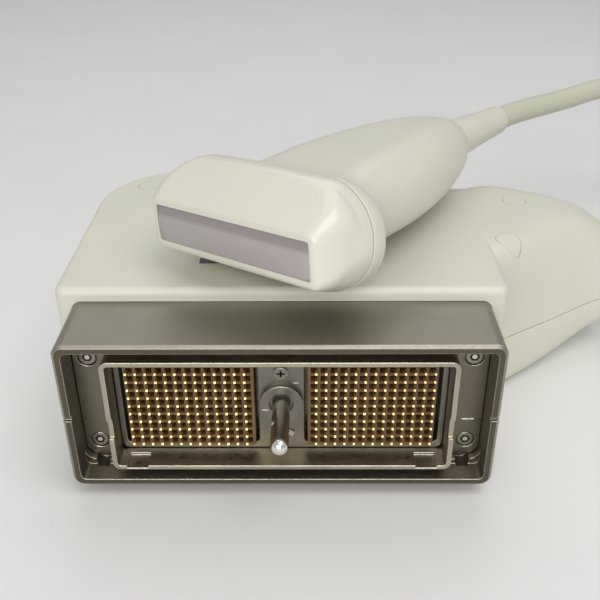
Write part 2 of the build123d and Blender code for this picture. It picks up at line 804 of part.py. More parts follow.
def handpiece_pieces():
    """Every piece of the handpiece in its own axes, by name."""
    pieces = {}
    nose = nose_body(0, 0)
    nose = fillet(nose.faces().sort_by(Axis.Y)[0].edges(), rim_edge_radius)
    nose -= nose_body(hand_wall, lens_thickness + hand_wall)
    window = hand_outline(window_width, window_height, window_corner_radius, -overrun)
    nose -= extrude(window, -overrun - lens_thickness - 2 * hand_wall)
    pieces["nosepiece"] = nose
    lens = extrude(hand_outline(window_width, window_height, window_corner_radius, 0), -lens_thickness)
    crown = Pos(0, lens_crown_radius, 0) * Rot(0, 90, 0) * Cylinder(lens_crown_radius, 2 * window_width)
    pieces["lens"] = lens & crown
    depth = lens_thickness
    pieces["matching_layer"] = hand_slab(stack_width, stack_height, depth, depth + matching_thickness)
    depth += matching_thickness
    pieces["element_array"] = hand_slab(stack_width, stack_height, depth, depth + array_thickness)
    depth += array_thickness
    pieces["backing_block"] = hand_slab(stack_width, stack_height, depth, depth + backing_thickness)
    depth += backing_thickness
    flexes = []
    for side in (-1, 1):
        flex = Pos(0, 0, side * (stack_height - flex_thickness) / 2)
        flexes.append(flex * hand_slab(flex_width, flex_thickness, depth, depth + flex_length))
    pieces["flex_circuits"] = Compound(children=flexes)
    sections = handle_sections(0)
    shell = loft(sections)
    shell -= loft(handle_sections(hand_wall)[:-1])
    shell -= hand_rod(hand_boot_root - hand_boot_waist, nose_length, handle_length + overrun)
    pieces["handle_shell"] = shell
    mouth = handle_length + hand_boot_length
    root_plane = Plane(origin=(0, handle_length, 0), x_dir=(1, 0, 0), z_dir=(0, -1, 0))
    tip_plane = root_plane.offset(-hand_boot_length)
    boot = loft([root_plane * Circle(hand_boot_root), tip_plane * Circle(hand_boot_tip)])
    boot = fillet(boot.faces().sort_by(Axis.Y)[-1].edges(), boot_tip_edge)
    inner_start = nose_length + handle_length_shares[-2] * (handle_length - nose_length)
    boot += hand_rod(hand_boot_root - hand_boot_waist, inner_start, handle_length)
    boot -= hand_rod(cable_radius, inner_start - overrun, mouth + overrun)
    pieces["handpiece_boot"] = boot
    ferrule_start = inner_start - ferrule_length
    ferrule = hand_rod(ferrule_radius, ferrule_start, inner_start) - hand_rod(cable_radius, ferrule_start, inner_start)
    pieces["cable_ferrule"] = ferrule
    pieces["handpiece_jacket_end"] = hand_rod(cable_radius, depth + flex_length, mouth)
    return pieces


def hand_plane(height):
    """The handpiece's own axes set in the row, with its lens centre at a given height."""
    yaw, tilt, roll = (math.radians(a) for a in (hand_yaw, hand_tilt, hand_roll))
    axis = Vector(math.sin(yaw) * math.cos(tilt), math.cos(yaw) * math.cos(tilt), math.sin(tilt))
    level = Vector(math.cos(yaw), -math.sin(yaw), 0)
    up = level.cross(axis)
    across = level * math.cos(roll) + up * math.sin(roll)
    return Plane(origin=(hand_x, hand_y, height), x_dir=across, z_dir=across.cross(axis))


def make_handpiece():
    """Lay the handpiece on the housing's top, and say where its cable comes out."""
    pieces = handpiece_pieces()
    lowest = min((hand_plane(0) * pieces[name]).bounding_box().min.Z for name in ("nosepiece", "handle_shell"))
    plane = hand_plane(housing_height + hand_seat_gap - lowest)
    for name, piece in pieces.items():
        save(plane * piece, name)
    mouth = plane.from_local_coords(Vector(0, handle_length + hand_boot_length, 0))
    return mouth, plane.y_dir


def cable_tube(points):
    """Cable along straight runs joined by tangent arcs, each as large as its two runs allow."""
    corners = [Vector(*p) for p in points]
    runs = [b - a for a, b in zip(corners, corners[1:])]
    radii = []
    for before, after in zip(runs, runs[1:]):
        turn = math.radians(before.get_angle(after))
        radii.append(0.45 * min(before.length, after.length) / math.tan(turn / 2))
    path = FilletPolyline(*corners, radius=radii)
    start = path ^ 0
    profile = Plane(origin=start.position, z_dir=path % 0) * Circle(cable_radius)
    tube = sweep(profile, path=path)
    print("radii", [round(r, 1) for r in radii], "length", round(path.length, 1),
          "volume share", round(tube.volume / (math.pi * cable_radius**2 * path.length), 4))
    return tube


def make_cable(mouth, direction):
    """The two free stretches of the cable and the coil of its spare length."""
    band = Circle(coil_outer_radius) - Circle(coil_inner_radius)
    ring = Pos(coil_centre_x, coil_centre_y, 0) * extrude(band, coil_layers * 2 * cable_radius)
    save(ring, "cable_coil")
    lead = [(coil_centre_x + x, coil_centre_y + y, z) for x, y, z in lead_points]
    save(cable_tube([tuple(mouth), tuple(mouth + direction * lead_exit)] + lead), "cable_lead")
    tail = [(coil_centre_x + x, coil_centre_y + y, z) for x, y, z in tail_points]
    exit_y, exit_z = gland_axis()
    exit_x = side_x + neck_length + connector_boot_length
    save(cable_tube([(exit_x, exit_y, exit_z), (exit_x + tail_exit, exit_y, exit_z)] + tail), "cable_tail")


make_housing()
make_shroud()
make_plug_shell()
make_carrier()
make_contacts()
make_lock()
make_board()
make_connector_cable()
cable_mouth, cable_direction = make_handpiece()
make_cable(cable_mouth, cable_direction)
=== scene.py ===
import math

import bmesh
import bpy
from mathutils import Matrix, Vector


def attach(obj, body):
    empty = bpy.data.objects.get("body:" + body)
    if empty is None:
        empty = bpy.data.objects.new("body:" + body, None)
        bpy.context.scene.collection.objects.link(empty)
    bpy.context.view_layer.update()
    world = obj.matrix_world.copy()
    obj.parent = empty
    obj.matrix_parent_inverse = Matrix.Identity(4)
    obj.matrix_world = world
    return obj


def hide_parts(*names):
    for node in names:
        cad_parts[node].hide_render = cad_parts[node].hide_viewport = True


# Looks for the ultrasound probe: materials on the CAD pieces, smooth skins for the handpiece, the free
# cable, small surface detail, floor, lights and camera. Places are in the row's frame, in metres unless a
# section says millimetres.

MM = 0.001

# Cable
CABLE_RADIUS = 4.0 * MM
CABLE_ORDER = 3
CABLE_ROUTE_STEPS = 8
CABLE_ROUND_STEPS = 6
COIL_CENTRE = Vector((210.0, 88.0, 0.0)) * MM
COIL_OUTER = 57.0 * MM
COIL_INNER = 35.0 * MM
COIL_TOP = 12.0 * MM
COIL_BOTTOM = 4.0 * MM
COIL_START = 80.0
COIL_SWEEP = 1930.0
COIL_POINTS_PER_TURN = 15
COIL_SPLINE_SHARE = 0.984
COIL_DROP_SHARE = 0.02

# Cable's route in millimetres: from the handpiece's boot to the coil, then from the coil to the connector's
# boot
LEAD_MM = [
    (74.79, 54.71, 67.07),
    (82.43, 63.96, 66.72),
    (98.4, 79.0, 65.2),
    (110.4, 89.6, 64.4),
    (123.4, 100.7, 64.5),
    (136.5, 111.3, 63.2),
    (149.0, 121.0, 56.0),
    (160.9, 129.8, 44.6),
    (173.6, 137.6, 33.5),
    (188.0, 143.6, 25.0),
    (203.6, 146.2, 19.0),
]
TAIL_MM = [
    (246.0, 44.6, 4.0),
    (233.0, 35.4, 4.0),
    (218.4, 28.8, 4.3),
    (203.2, 24.0, 7.0),
    (188.4, 20.8, 12.6),
    (174.0, 19.2, 19.0),
    (160.0, 18.75, 22.25),
    (148.0, 18.75, 22.25),
]

# Camera, from the photograph
CAMERA_PLACE = Vector((6.95, -232.15, 160.41)) * MM
CAMERA_PITCH = 30.34
CAMERA_YAW = -0.584
CAMERA_ROLL = 0.409
CAMERA_LENS = 49.27
SENSOR_WIDTH = 36.0

# Handpiece: its lens's middle and its own axes, from the CAD
LENS_PLACE = Vector((-12.5, -50.8, 71.1375)) * MM
HAND_ACROSS = Vector((0.76896579, -0.63258738, 0.09232993))
HAND_ALONG = Vector((0.63714343, 0.77017411, -0.02966624))
HAND_UP = Vector((-0.05234363, 0.08163974, 0.99528644))

# Handpiece's skins, in millimetres on its own axes
SHELL_WALL = 2.2
RIM_EDGE = 0.9
SEAM_EDGE = 0.3
RING_STEP = 0.5
RING_SLIP = 0.01
CORNER_STEPS = 12
FLAT_STEPS = 8
EDGE_STEPS = 5
CREASE_ANGLE = 0.7

# Row of a section: width, top, bottom, upper and lower corner radius, upper and lower crown
WINDOW = (51.9, 5.0, 5.0, 0.8, 0.8, 0.0, 0.0)
WINDOW_DEPTH = 3.0

# Lens. Each ring: share of the window's size, depth behind the crown
LENS_GAP = 0.05
LENS_DEPTH = 2.4
LENS_CROWN_RADIUS = 34.0
LENS_EDGE = 0.2
LENS_EDGE_STEPS = 3
LENS_RINGS = [(1.0, LENS_DEPTH), (1.0, LENS_EDGE), (0.999, LENS_EDGE / 3), (0.995, 0.0)]
LENS_RINGS += [(share, 0.0) for share in (0.9, 0.75, 0.6, 0.45, 0.3, 0.15)]

# Nosepiece and handle. Each row: depth behind the lens, then a section as above
NOSE_TABLE = [
    (0.0, 54.8, 6.8, 6.75, 2.0, 2.0, 0.0, 0.0),
    (1.0, 56.4, 7.5, 7.4, 3.0, 2.8, 0.0, 0.0),
    (3.0, 58.4, 8.9, 8.5, 3.9, 4.6, 0.1, 0.0),
    (6.0, 60.6, 10.8, 10.1, 5.2, 7.6, 0.35, 0.1),
    (9.0, 62.1, 12.6, 11.7, 7.4, 10.6, 0.65, 0.3),
    (11.5, 63.1, 13.9, 13.0, 10.2, 12.6, 0.95, 0.6),
    (12.8, 63.6, 14.35, 13.4, 12.0, 13.4, 1.1, 0.8),
    (14.2, 63.9, 14.5, 13.8, 12.4, 13.7, 1.1, 1.2),
    (16.5, 64.2, 14.4, 14.1, 12.8, 14.0, 0.9, 1.4),
]
HANDLE_TABLE = [
    (16.9, 64.2, 14.38, 14.15, 12.8, 14.0, 0.88, 1.45),
    (19.0, 64.5, 13.9, 14.5, 12.8, 14.1, 0.7, 1.6),
    (21.5, 64.0, 12.7, 14.6, 12.2, 13.8, 0.5, 1.6),
    (23.5, 60.0, 11.4, 14.3, 11.0, 13.4, 0.3, 1.1),
    (26.0, 52.6, 10.6, 13.7, 10.4, 12.8, 0.1, 0.7),
    (30.0, 47.4, 10.6, 12.9, 10.4, 12.3, 0.0, 0.3),
    (37.0, 45.4, 11.3, 12.2, 11.1, 11.9, 0.0, 0.0),
    (45.0, 44.8, 11.9, 12.0, 11.7, 11.8, 0.0, 0.0),
    (57.0, 43.4, 12.0, 12.1, 11.8, 11.9, 0.0, 0.0),
    (69.0, 39.8, 12.0, 12.0, 11.8, 11.8, 0.0, 0.0),
    (81.0, 34.0, 11.7, 11.6, 11.5, 11.4, 0.0, 0.0),
    (91.0, 27.8, 10.8, 10.8, 10.6, 10.6, 0.0, 0.0),
    (97.0, 22.6, 9.7, 9.7, 9.6, 9.6, 0.0, 0.0),
    (100.5, 18.8, 8.6, 8.6, 8.5, 8.5, 0.0, 0.0),
    (102.3, 16.0, 7.7, 7.7, 7.6, 7.6, 0.0, 0.0),
    (102.9, 13.8, 6.9, 6.9, 6.8, 6.8, 0.0, 0.0),
]

# Boot. Each row: depth behind the lens, radius
BOOT_TABLE = [
    (101.5, 6.85),
    (107.0, 6.6),
    (115.0, 6.05),
    (125.0, 5.4),
    (133.0, 5.05),
    (136.0, 4.95),
    (136.8, 4.6),
    (137.0, 4.15),
]
BOOT_BORE = 4.05
BOOT_SIDES = 64
BOOT_TIP = 1.0
BOOT_TIP_STEPS = (0.8, 0.6, 0.4, 0.2, 0.1, 0.0)

# Light. Each lamp: name, place, size, power, colour
LAMP_TARGET = (0.0, -0.02, 0.04)
LAMPS = [
    ("key", (0.3, -0.4, 1.0), 0.7, 4.3, (1.0, 0.985, 0.96)),
    ("front", (-0.15, -1.0, 0.5), 0.8, 6.4, (1.0, 0.985, 0.965)),
    ("back", (0.0, 0.5, 0.9), 0.8, 2.0, (0.98, 0.99, 1.0)),
]
WORLD_COLOUR = (0.82, 0.83, 0.85, 1.0)
WORLD_LIGHT = 0.42
WORLD_SEEN = 0.62
FLOOR_SIZE = 6.0

# Places on the connector
SHAFT_HEIGHT = 26.6 * MM
MATING_Y = -64.8 * MM
HOUSING_TOP = 53.0 * MM
TIP_FRONT = -74.6 * MM
TIP_BACK = -74.2 * MM
RIM_FACE_START = MATING_Y - MM
PLUG_FACE_START = MATING_Y + 3 * MM

# Label on the housing
LABEL_LOW = (-23.4 * MM, -28.2 * MM)
LABEL_HIGH = (6.6 * MM, -22.0 * MM)
LABEL_SINK = 0.02 * MM
LABEL_PROUD = 0.06 * MM
SLAB_EDGE_SHARE = 0.3

# Screws, with places in millimetres from the shaft's axis
RECESS_ARM = 0.28 * MM
RECESS_PROUD = 0.02 * MM
FLANGE_SCREW_DEPTH = 8.8 * MM
FLANGE_SCREW_PLACES = [(x, z) for x in (-50.3, 50.3) for z in (-13.6, 13.6)]
SOCKET_SIDES = 6
SOCKET_RADIUS = 1.35 * MM
# Radius of the painted highlight on each socket's floor
SOCKET_HIGHLIGHT_RADIUS = 0.75 * MM
CARRIER_SCREW_DEPTH = 7.4 * MM
CARRIER_SCREW_PLACES = [(0.0, -9.2), (0.0, 9.2)]
CARRIER_SCREW_REACH = 1.1 * MM

# Index marks beside the shaft, in millimetres. Each: x, rise, half width, depth behind the mating plane
INDEX_MARKS = [(3.9, 5.75, 0.75, 8.1), (-4.3, -1.9, 0.9, 6.5)]
MARK_HALF_HEIGHT = 0.2
MARK_PROUD = 0.12
MARK_SINK = 0.05

# Surface textures. Scales are in cells per metre
NOISE_LOW = 0.3
NOISE_HIGH = 0.7
DRIFT_SCALE = 18.0
SMUDGE_SCALE = 90.0
SMUDGE_DETAIL = 6.0
SMUDGE_ROUGHNESS = 0.6
SMUDGE_RANGE = (0.85, 1.15)
GRAIN_DETAIL = 2.0
GRAIN_STRENGTH = 0.5
COAT_ROUGHNESS = 0.12
STAIN_SCALE = 60.0
STAIN_DETAIL = 8.0
STAIN_ROUGHNESS = 0.65
STAIN_RANGE = (0.35, 0.75)
DRAWN_DETAIL = 4.0
DRAWN_ROUGHNESS = 0.6
DRAWN_RANGE = (0.75, 1.3)
DRAWN_STRENGTH = 0.6
AMBER_DRIFT_SCALE = 120.0
AMBER_GRAIN_SCALE = 1800.0
AMBER_GRAIN = 0.00002
AMBER_STRENGTH = 0.4
AMBER_ROUGHNESS = (0.3, 0.5)
AMBER_COLOURS = ((0.105, 0.058, 0.02), (0.17, 0.10, 0.038))
TIP_ROUGHNESS = 0.12
TIP_COLOUR = (0.80, 0.77, 0.70)
# Painted dark reflection on the lens: a darker band along its upper edge, with its start and end above the
# lens's middle and its colour
LENS_BAND_START = 1.6 * MM
LENS_BAND_END = 2.8 * MM
LENS_SHADE_BAND_COLOUR = (0.28, 0.25, 0.25)

# Edges of metal painted brighter, partly rubbed wear and partly a painted highlight, and front faces of
# metal painted darker as a painted dark reflection
EDGE_RADIUS = 0.35 * MM
EDGE_SAMPLES = 4
EDGE_RANGE = (0.80, 0.98)
FACING_RANGE = (0.75, 0.95)
FRONT = (0.0, -1.0, 0.0)

# Sockets of the mix node: first and second value and result, for numbers and for colours
MIX_NUMBERS = (2, 3, 0)
MIX_COLOURS = (6, 7, 2)


def new_material(name):
    """An empty node material with its shader and its object coordinates."""
    material = bpy.data.materials.new(name)
    material.use_nodes = True
    tree = material.node_tree
    shader = tree.nodes["Principled BSDF"]
    place = tree.nodes.new("ShaderNodeTexCoord")
    return material, tree, shader, place.outputs["Object"]


def scaled(tree, place, scale):
    """Coordinates stretched by three factors."""
    mapping = tree.nodes.new("ShaderNodeMapping")
    mapping.inputs["Scale"].default_value = scale
    tree.links.new(place, mapping.inputs["Vector"])
    return mapping.outputs["Vector"]


def noise(tree, place, scale, detail=4.0, roughness=0.5):
    """Noise value at a scale in cells per metre."""
    node = tree.nodes.new("ShaderNodeTexNoise")
    node.inputs["Scale"].default_value = scale
    node.inputs["Detail"].default_value = detail
    node.inputs["Roughness"].default_value = roughness
    tree.links.new(place, node.inputs["Vector"])
    return node.outputs["Fac"]


def spread(tree, value, low, high, start=NOISE_LOW, end=NOISE_HIGH):
    """A value spread from its own range, start to end, onto low to high."""
    node = tree.nodes.new("ShaderNodeMapRange")
    node.inputs["From Min"].default_value = start
    node.inputs["From Max"].default_value = end
    node.inputs["To Min"].default_value = low
    node.inputs["To Max"].default_value = high
    tree.links.new(value, node.inputs["Value"])
    return node.outputs["Result"]


def calculate(tree, operation, first, second):
    """Result of a maths operation on two sockets."""
    node = tree.nodes.new("ShaderNodeMath")
    node.operation = operation
    tree.links.new(first, node.inputs[0])
    tree.links.new(second, node.inputs[1])
    return node.outputs[0]


def blend_colour(tree, share, first, second):
    """Colour between two, by a share. Each is a colour or a socket."""
    node = tree.nodes.new("ShaderNodeMix")
    node.data_type = "RGBA"
    tree.links.new(share, node.inputs["Factor"])
    first_socket, second_socket, result = MIX_COLOURS
    for number, colour in ((first_socket, first), (second_socket, second)):
        if isinstance(colour, tuple):
            node.inputs[number].default_value = (*colour, 1.0)
        else:
            tree.links.new(colour, node.inputs[number])
    return node.outputs[result]


def bump(tree, value, strength, distance, normal=None):
    """Surface normal that follows a value, on top of another normal if one is given."""
    node = tree.nodes.new("ShaderNodeBump")
    node.inputs["Strength"].default_value = strength
    node.inputs["Distance"].default_value = distance
    tree.links.new(value, node.inputs["Height"])
    if normal:
        tree.links.new(normal, node.inputs["Normal"])
    return node.outputs["Normal"]


def shade(colour, share):
    """A colour made lighter or darker by a share."""
    return tuple(min(1.0, channel * share) for channel in colour)


def facing_share(tree, direction=None):
    """Cosine between a face's own normal and a direction, which is given or linked to the node later."""
    geometry = tree.nodes.new("ShaderNodeNewGeometry")
    dot = tree.nodes.new("ShaderNodeVectorMath")
    dot.operation = "DOT_PRODUCT"
    tree.links.new(geometry.outputs["True Normal"], dot.inputs[0])
    if direction:
        dot.inputs[1].default_value = direction
    return dot


# Mask of the brighter edges on metal, partly rubbed wear and partly a painted highlight
def edge_share(tree):
    """How near a point is to a sharp edge, 0 on a flat and 1 on the edge, and the rounded normal there."""
    rounded = tree.nodes.new("ShaderNodeBevel")
    rounded.samples = EDGE_SAMPLES
    rounded.inputs["Radius"].default_value = EDGE_RADIUS
    dot = facing_share(tree)
    tree.links.new(rounded.outputs["Normal"], dot.inputs[1])
    return spread(tree, dot.outputs["Value"], 1.0, 0.0, *EDGE_RANGE), rounded.outputs["Normal"]


# Mask of the painted dark reflection on metal's front faces
def facing_front(tree, place, start):
    """How squarely a face behind a given place looks out of the connector's front, from 0 to 1."""
    facing = spread(tree, facing_share(tree, FRONT).outputs["Value"], 0.0, 1.0, *FACING_RANGE)
    split = tree.nodes.new("ShaderNodeSeparateXYZ")
    tree.links.new(place, split.inputs[0])
    behind = spread(tree, split.outputs["Y"], 0.0, 1.0, start, start + EDGE_RADIUS)
    return calculate(tree, "MULTIPLY", facing, behind)


def polish_tip(material):
    """The lock shaft's round end is polished, the rest of it brushed."""
    tree = material.node_tree
    shader = tree.nodes["Principled BSDF"]
    split = tree.nodes.new("ShaderNodeSeparateXYZ")
    tree.links.new(tree.nodes["Texture Coordinate"].outputs["Object"], split.inputs[0])
    share = spread(tree, split.outputs["Y"], 1.0, 0.0, TIP_FRONT, TIP_BACK)
    rough = tree.nodes.new("ShaderNodeMix")
    first, second, result = MIX_NUMBERS
    rough.inputs[second].default_value = TIP_ROUGHNESS
    tree.links.new(share, rough.inputs["Factor"])
    tree.links.new(shader.inputs["Roughness"].links[0].from_socket, rough.inputs[first])
    tree.links.new(rough.outputs[result], shader.inputs["Roughness"])
    plain = shader.inputs["Base Color"].links[0].from_socket
    tree.links.new(blend_colour(tree, share, plain, TIP_COLOUR), shader.inputs["Base Color"])


def plastic(name, colour, roughness, grain=0.00002, grain_scale=2600.0, coat=0.0, variation=0.04):
    """Moulded plastic: fine spark-eroded grain, slow colour drift and a roughness that varies."""
    material, tree, shader, place = new_material(name)
    drift = spread(tree, noise(tree, place, DRIFT_SCALE), 0.0, 1.0)
    tint = blend_colour(tree, drift, shade(colour, 1 - variation), shade(colour, 1 + variation / 2))
    tree.links.new(tint, shader.inputs["Base Color"])
    smudge = noise(tree, place, SMUDGE_SCALE, SMUDGE_DETAIL, SMUDGE_ROUGHNESS)
    low, high = SMUDGE_RANGE
    tree.links.new(spread(tree, smudge, roughness * low, roughness * high), shader.inputs["Roughness"])
    fine = noise(tree, place, grain_scale, GRAIN_DETAIL)
    tree.links.new(bump(tree, fine, GRAIN_STRENGTH, grain), shader.inputs["Normal"])
    shader.inputs["Coat Weight"].default_value = coat
    shader.inputs["Coat Roughness"].default_value = COAT_ROUGHNESS
    return material


def metal(name, colour, roughness, stretch=(1.0, 1.0, 1.0), grain=0.00002, grain_scale=1500.0, stain=0.25,
          edge=None, face=None, face_start=RIM_FACE_START):
    """Plated or machined metal: directional grain, dull stains, edges painted brighter (rubbed wear and
    painted highlight), front faces painted darker (painted dark reflection).
    """
    material, tree, shader, place = new_material(name)
    shader.inputs["Metallic"].default_value = 1.0
    patches = noise(tree, place, STAIN_SCALE, STAIN_DETAIL, STAIN_ROUGHNESS)
    stains = spread(tree, patches, 0.0, 1.0, *STAIN_RANGE)
    tint = blend_colour(tree, stains, colour, shade(colour, 1 - stain))
    normal = None
    # Front faces painted darker: a painted dark reflection of dark surroundings
    if face:
        tint = blend_colour(tree, facing_front(tree, place, face_start), tint, face)
    # Edges painted brighter: partly rubbed wear, partly a painted highlight where a rounded edge catches
    # the light
    if edge:
        share, normal = edge_share(tree)
        tint = blend_colour(tree, share, tint, edge)
    tree.links.new(tint, shader.inputs["Base Color"])
    drawn = noise(tree, scaled(tree, place, stretch), grain_scale, DRAWN_DETAIL, DRAWN_ROUGHNESS)
    low, high = DRAWN_RANGE
    tree.links.new(spread(tree, drawn, roughness * low, roughness * high), shader.inputs["Roughness"])
    tree.links.new(bump(tree, drawn, DRAWN_STRENGTH, grain, normal), shader.inputs["Normal"])
    return material


def lens_material():
    """Grey silicone, with a painted dark reflection: a darker band along its upper edge."""
    material = plastic("lens_silicone", (0.40, 0.365, 0.36), 0.34, grain=0.000008, coat=0.1, variation=0.02)
    tree = material.node_tree
    shader = tree.nodes["Principled BSDF"]
    place = tree.nodes["Texture Coordinate"].outputs["Object"]
    height = tree.nodes.new("ShaderNodeVectorMath")
    height.operation = "DOT_PRODUCT"
    height.inputs[1].default_value = HAND_UP
    tree.links.new(place, height.inputs[0])
    middle = LENS_PLACE.dot(HAND_UP)
    start, end = middle + LENS_BAND_START, middle + LENS_BAND_END
    band = spread(tree, height.outputs["Value"], 0.0, 1.0, start, end)
    plain = shader.inputs["Base Color"].links[0].from_socket
    tree.links.new(blend_colour(tree, band, plain, LENS_SHADE_BAND_COLOUR), shader.inputs["Base Color"])
    return material


def insulator_material():
    """Amber moulding resin with a fine grain."""
    material, tree, shader, place = new_material("amber_resin")
    drift = spread(tree, noise(tree, place, AMBER_DRIFT_SCALE), 0.0, 1.0)
    tree.links.new(blend_colour(tree, drift, *AMBER_COLOURS), shader.inputs["Base Color"])
    fine = noise(tree, place, AMBER_GRAIN_SCALE)
    tree.links.new(spread(tree, fine, *AMBER_ROUGHNESS), shader.inputs["Roughness"])
    tree.links.new(bump(tree, fine, AMBER_STRENGTH, AMBER_GRAIN), shader.inputs["Normal"])
    return material


def make_materials():
    """Every material, by the CAD nodes that carry it."""
    housing = plastic("housing_plastic", (0.655, 0.65, 0.55), 0.48, grain=0.00003, grain_scale=2200.0)
    handle = plastic("handle_plastic", (0.66, 0.645, 0.54), 0.34, grain=0.00001, coat=0.1)
    nose = plastic("nosepiece_plastic", (0.69, 0.67, 0.575), 0.24, grain=0.000005, coat=0.3)
    lens = lens_material()
    jacket = plastic("cable_jacket", (0.56, 0.565, 0.44), 0.4, grain_scale=900.0, variation=0.05)
    # Each edge colour below is painted brighter along sharp edges, partly rubbed wear and partly a painted
    # highlight; each face colour is a painted dark reflection on faces that look out of the front, on the
    # shroud partly also a duller worn finish
    nickel = metal("shroud_nickel", (0.32, 0.30, 0.245), 0.44, grain=0.00005, stain=0.12,
                   edge=(0.80, 0.75, 0.62), face=(0.125, 0.105, 0.08))
    bright = metal("plug_nickel", (0.50, 0.445, 0.34), 0.36, grain=0.000008, grain_scale=900.0, stain=0.3,
                   edge=(0.95, 0.93, 0.84), face=(0.19, 0.17, 0.135), face_start=PLUG_FACE_START)
    cast = metal("carrier_metal", (0.26, 0.245, 0.21), 0.36, stretch=(0.15, 1.0, 1.0), grain=0.00001,
                 edge=(0.75, 0.72, 0.64))
    polished = metal("shaft_steel", (0.46, 0.43, 0.38), 0.3, stretch=(1.0, 0.04, 1.0), stain=0.2)
    polish_tip(polished)
    screw = metal("screw_steel", (0.34, 0.32, 0.28), 0.3, stain=0.35, edge=(0.8, 0.78, 0.7))
    amber = insulator_material()
    gold = metal("contact_gold", (0.80, 0.60, 0.28), 0.34, stain=0.35)
    knob = plastic("knob_plastic", (0.46, 0.455, 0.41), 0.48)
    board = plastic("board_laminate", (0.03, 0.13, 0.06), 0.35, coat=0.3)
    stack = plastic("array_resin", (0.09, 0.085, 0.08), 0.5)
    flex = plastic("flex_film", (0.45, 0.22, 0.04), 0.3, coat=0.3)
    return {
        housing: ["housing_upper", "housing_lower", "screw_caps", "connector_boot"],
        handle: ["handle_shell", "handpiece_boot"],
        nose: ["nosepiece"],
        lens: ["lens"],
        jacket: ["handpiece_jacket_end", "connector_jacket_end"],
        nickel: ["shroud", "clamp_base", "clamp_bridge", "rear_bush"],
        bright: ["plug_shell"],
        cast: ["contact_carrier", "shaft_bush"],
        polished: ["lock_shaft", "cross_pin"],
        screw: ["flange_screws", "carrier_screws", "housing_screws", "knob_screw", "clamp_screws",
                "shaft_clip", "cable_ferrule", "board_spacers"],
        amber: ["insulator_left", "insulator_right"],
        gold: ["contacts_left", "contacts_right"],
        knob: ["lock_knob"],
        board: ["interface_board"],
        stack: ["matching_layer", "element_array", "backing_block"],
        flex: ["flex_circuits"],
    }


def dress(nodes):
    """Put each material on the CAD nodes that carry it."""
    for material, names in make_materials().items():
        for name in names:
            for slot in nodes[name].material_slots:
                slot.material = material


def coil_points():
    """The wound length: inwards on the top layer, down at the middle, outwards on the bottom layer."""
    count = round(COIL_SWEEP / 360 * COIL_POINTS_PER_TURN)
    points = []
    for step in range(count):
        share = step / count
        angle = math.radians(COIL_START - share * COIL_SWEEP)
        inward = 1 - abs(1 - 2 * share)
        radius = (COIL_OUTER + (COIL_INNER - COIL_OUTER) * inward) / COIL_SPLINE_SHARE
        drop = min(1.0, max(0.0, (share - 0.5 + COIL_DROP_SHARE) / (2 * COIL_DROP_SHARE)))
        height = COIL_TOP + (COIL_BOTTOM - COIL_TOP) * drop
        points.append(COIL_CENTRE + Vector((radius * math.cos(angle), radius * math.sin(angle), height)))
    return points


def make_cable():
    """The free cable from the handpiece's boot through its coil to the connector's boot."""
    lead = [Vector(point) * MM for point in LEAD_MM]
    tail = [Vector(point) * MM for point in TAIL_MM]
    route = lead + coil_points() + tail
    curve = bpy.data.curves.new("free_cable", "CURVE")
    curve.dimensions = "3D"
    curve.bevel_depth = CABLE_RADIUS
    curve.bevel_resolution = CABLE_ROUND_STEPS
    curve.resolution_u = CABLE_ROUTE_STEPS
    spline = curve.splines.new("NURBS")
    spline.points.add(len(route) - 1)
    for point, place in zip(spline.points, route):
        point.co = (*place, 1.0)
    spline.order_u = CABLE_ORDER
    spline.use_endpoint_u = True
    cable = bpy.data.objects.new("free_cable", curve)
    bpy.context.scene.collection.objects.link(cable)
    curve.materials.append(bpy.data.materials["cable_jacket"])
    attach(cable, "probe")
    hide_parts("cable_lead", "cable_coil", "cable_tail")


def row_slope(table, column, low, high):
    """Slope of a table's column between two rows, or nothing past its ends."""
    if low < 0 or high >= len(table):
        return None
    return (table[high][column] - table[low][column]) / (table[high][0] - table[low][0])


def table_row(table, depth):
    """A table's values at a depth, on a smooth curve through its rows that never overshoots them."""
    last = len(table) - 2
    index = next((i for i in range(last) if depth < table[i + 1][0]), last)
    first, second = table[index], table[index + 1]
    run = second[0] - first[0]
    share = min(1.0, max(0.0, (depth - first[0]) / run))
    s2, s3 = share * share, share ** 3
    values = []
    for column in range(1, len(first)):
        here = row_slope(table, column, index, index + 1)
        ends = []
        for low in (index - 1, index + 1):
            near = row_slope(table, column, low, low + 1)
            if near is None:
                ends.append(here)
            elif near * here <= 0:
                ends.append(0.0)
            else:
                ends.append(2 * near * here / (near + here))
        values.append((2 * s3 - 3 * s2 + 1) * first[column] + (s3 - 2 * s2 + share) * run * ends[0]
                      + (3 * s2 - 2 * s3) * second[column] + (s3 - s2) * run * ends[1])
    return values


def rounded_ring(width, top, bottom, upper, lower, crown, sag):
    """Points round a rounded rectangle with crowned long sides, as (across, up)."""
    half = width / 2
    upper = min(upper, half - RING_SLIP, top - RING_SLIP)
    lower = min(lower, half - RING_SLIP, bottom - RING_SLIP)
    corners = [(1, 1, upper, top, 0), (-1, 1, upper, top, 90),
               (-1, -1, lower, bottom, 180), (1, -1, lower, bottom, 270)]
    outline = []
    for side, rise, radius, reach, start in corners:
        middle = (side * (half - radius), rise * (reach - radius))
        for step in range(CORNER_STEPS + 1):
            angle = math.radians(start + 90 * step / CORNER_STEPS)
            outline.append((middle[0] + radius * math.cos(angle), middle[1] + radius * math.sin(angle)))
    points = []
    for number, first in enumerate(outline):
        second = outline[(number + 1) % len(outline)]
        parts = FLAT_STEPS if number % (CORNER_STEPS + 1) == CORNER_STEPS else 1
        for part in range(parts):
            share = part / parts
            points.append([a + (b - a) * share for a, b in zip(first, second)])
    for point in points:
        rise = max(0.0, 1 - (point[0] / half) ** 2)
        share = point[1] / (top if point[1] > 0 else bottom)
        point[1] += (crown if point[1] > 0 else -sag) * rise * abs(share)
    return points


